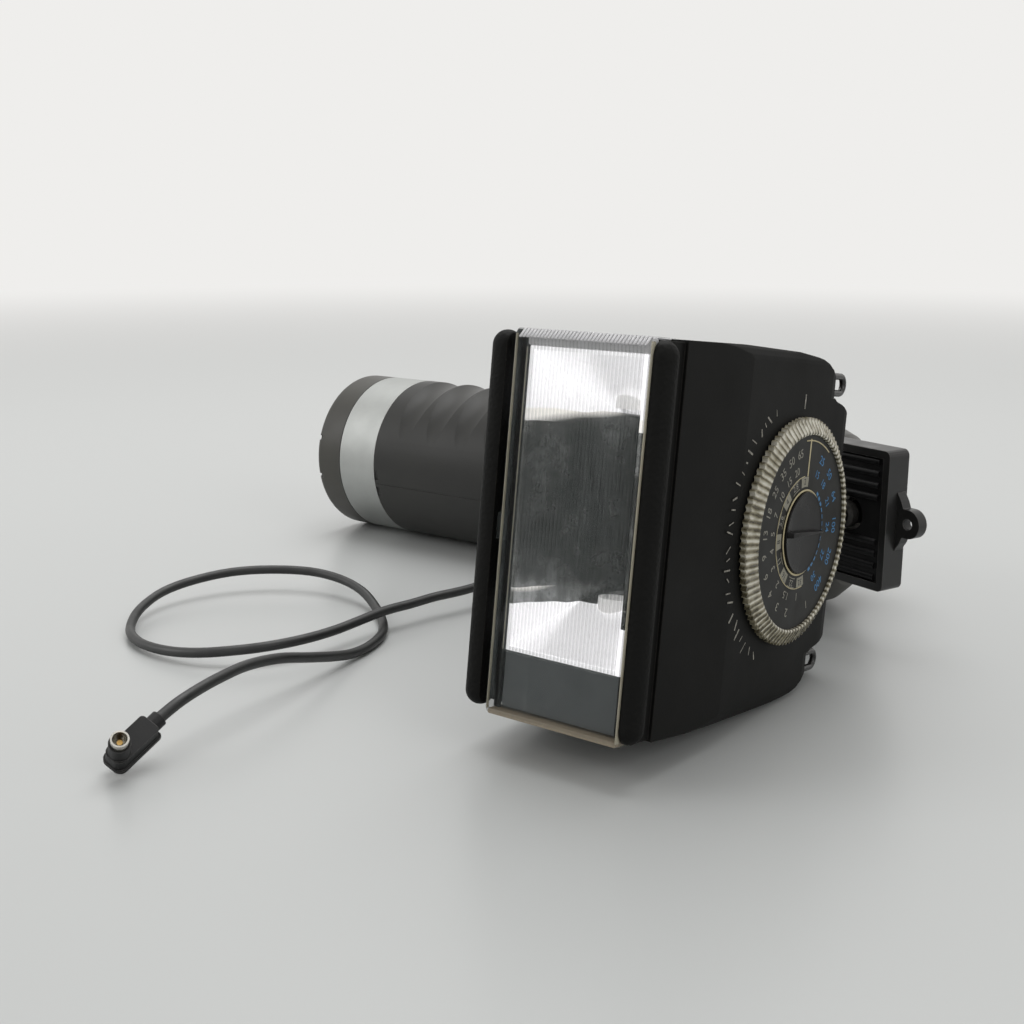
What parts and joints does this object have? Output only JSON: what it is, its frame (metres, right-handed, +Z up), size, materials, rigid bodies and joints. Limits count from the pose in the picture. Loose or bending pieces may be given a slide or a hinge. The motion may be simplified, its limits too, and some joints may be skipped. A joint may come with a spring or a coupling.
{
  "type": "handle mount flash",
  "caption": "Hammer-head electronic flash on a round handle, with ribbed window, exposure dial, folding camera plate and screw, metal band, battery cap and sync cord with plug.",
  "frame": {"origin": "middle of the foot of the object's box, measured without the cord, as it lies on a table", "axes": "+X along the handle from the battery cap to the dial side, -Y where the window looks, +Z up"},
  "size_m": [0.2022, 0.2108, 0.0823],
  "materials": {
    "shell_black": "matte, fine pebble",
    "lower_shell_black": "matte",
    "window_clear": "clear, fine vertical ribs inside",
    "panel_grey": "matte",
    "sensor_clear": "clear",
    "sensor_red": "gloss",
    "mirror_silver": "polished",
    "tube_glass": "clear",
    "tinned_steel": "satin",
    "grommet_rubber": "matte",
    "coil_wire": "lacquered wire",
    "board_brown": "resin board",
    "core_tape": "wound tape",
    "ring_clear": "clear, knurled",
    "scale_black": "printed",
    "hub_metal": "turned",
    "knob_black": "satin",
    "lug_steel": "black",
    "switch_black": "ribbed",
    "switch_grey": "matte",
    "button_red": "gloss",
    "lamp_orange": "clear orange",
    "zinc_steel": "zinc",
    "arm_black": "satin black",
    "washer_fibre": "fibre",
    "tube_aluminium": "turned",
    "cap_black": "satin",
    "grip_black": "satin",
    "band_aluminium": "satin anodised",
    "battery_cap_black": "satin",
    "contact_brass": "plated",
    "cartridge_grey": "matte",
    "cell_blue": "wrapped",
    "capacitor_blue": "sleeved",
    "plate_black": "satin, worn edges",
    "pad_rubber": "ribbed",
    "pin_steel": "bright",
    "screw_chrome": "plated",
    "wheel_black": "knurled",
    "eyelet_black": "satin",
    "gland_rubber": "matte",
    "cord_vinyl": "satin",
    "plug_vinyl": "satin",
    "sleeve_nickel": "nickel"
  },
  "bodies": {
    "handle": {"collar_washers": "washer_fibre", "bearing_tube": "tube_aluminium", "top_cap": "cap_black", "grip_front": "grip_black", "grip_rear": "grip_black", "grip_screws": "zinc_steel", "metal_band": "band_aluminium", "battery_cartridge": "cartridge_grey", "battery_cells": "cell_blue", "main_capacitor": "capacitor_blue", "cord_gland": "gland_rubber", "sync_cord": "cord_vinyl", "plug_body": "plug_vinyl", "plug_sleeve": "sleeve_nickel", "plug_pin": "contact_brass"},
    "head": {"head_arm": "arm_black", "arm_screws": "zinc_steel", "top_shell": "shell_black", "bottom_shell": "lower_shell_black", "front_window": "window_clear", "blank_panel": "panel_grey", "sensor_window": "sensor_clear", "light_sensor": "sensor_red", "reflector": "mirror_silver", "flash_tube": "tube_glass", "tube_electrodes": "tinned_steel", "tube_grommets": "grommet_rubber", "trigger_coil": "coil_wire", "circuit_board": "board_brown", "converter_transformer": "core_tape", "strap_lugs": "lug_steel", "power_switch": "switch_grey", "button_spring": "tinned_steel", "button_switch": "switch_grey", "ready_lamp": "lamp_orange", "shell_screws": "zinc_steel"},
    "dial": {"dial_ring": "ring_clear", "scale_disc": "scale_black", "dial_hub": "hub_metal"},
    "knob": {"dial_knob": "knob_black"},
    "slider": {"power_slider": "switch_black"},
    "button": {"test_button": "button_red"},
    "cap": {"battery_cap": "battery_cap_black", "contact_spring": "contact_brass"},
    "plate": {"camera_plate": "plate_black", "plate_pad": "pad_rubber", "hinge_pin": "pin_steel", "eyelet": "eyelet_black"},
    "slide_washer": {"screw_washer": "pin_steel"},
    "screw": {"camera_screw": "screw_chrome", "thumb_wheel": "wheel_black"}
  },
  "joints": [
    {"name": "head_swivel", "type": "hinge", "parent": "handle", "child": "head", "pos_m": [0.0488, 0.05472, 0.0246], "axis": [1, 0, 0], "range_deg": [-82, 7.7]},
    {"name": "dial_turn", "type": "hinge", "parent": "head", "child": "dial", "pos_m": [0.088, -0.01803, 0.03809], "axis": [1, 0, 0], "continuous": true},
    {"name": "knob_turn", "type": "hinge", "parent": "dial", "child": "knob", "pos_m": [0.09, -0.01803, 0.03809], "axis": [1, 0, 0], "continuous": true},
    {"name": "power_slide", "type": "slide", "parent": "head", "child": "slider", "axis": [1, 0, 0], "range_m": [-0.005, 0]},
    {"name": "button_press", "type": "slide", "parent": "head", "child": "button", "axis": [0, -0.9909, 0.1347], "range_m": [0, 0.0012], "stiffness_N_per_m": 500, "springref_m": -0.001},
    {"name": "plate_fold", "type": "hinge", "parent": "handle", "child": "plate", "pos_m": [0.07291, 0.03932, 0.033], "axis": [0, 0, 1], "range_deg": [0, 110]},
    {"name": "screw_slide", "type": "slide", "parent": "plate", "child": "slide_washer", "axis": [-0.9397, 0.342, 0], "range_m": [0, 0.004]},
    {"name": "screw_turn", "type": "hinge", "parent": "slide_washer", "child": "screw", "pos_m": [0.08456, 0.03508, 0.033], "axis": [0.342, 0.9397, 0], "continuous": true},
    {"name": "cap_twist", "type": "hinge", "parent": "handle", "child": "cap", "pos_m": [-0.096, 0.05472, 0.0246], "axis": [1, 0, 0], "range_deg": [0, 45]}
  ]
}
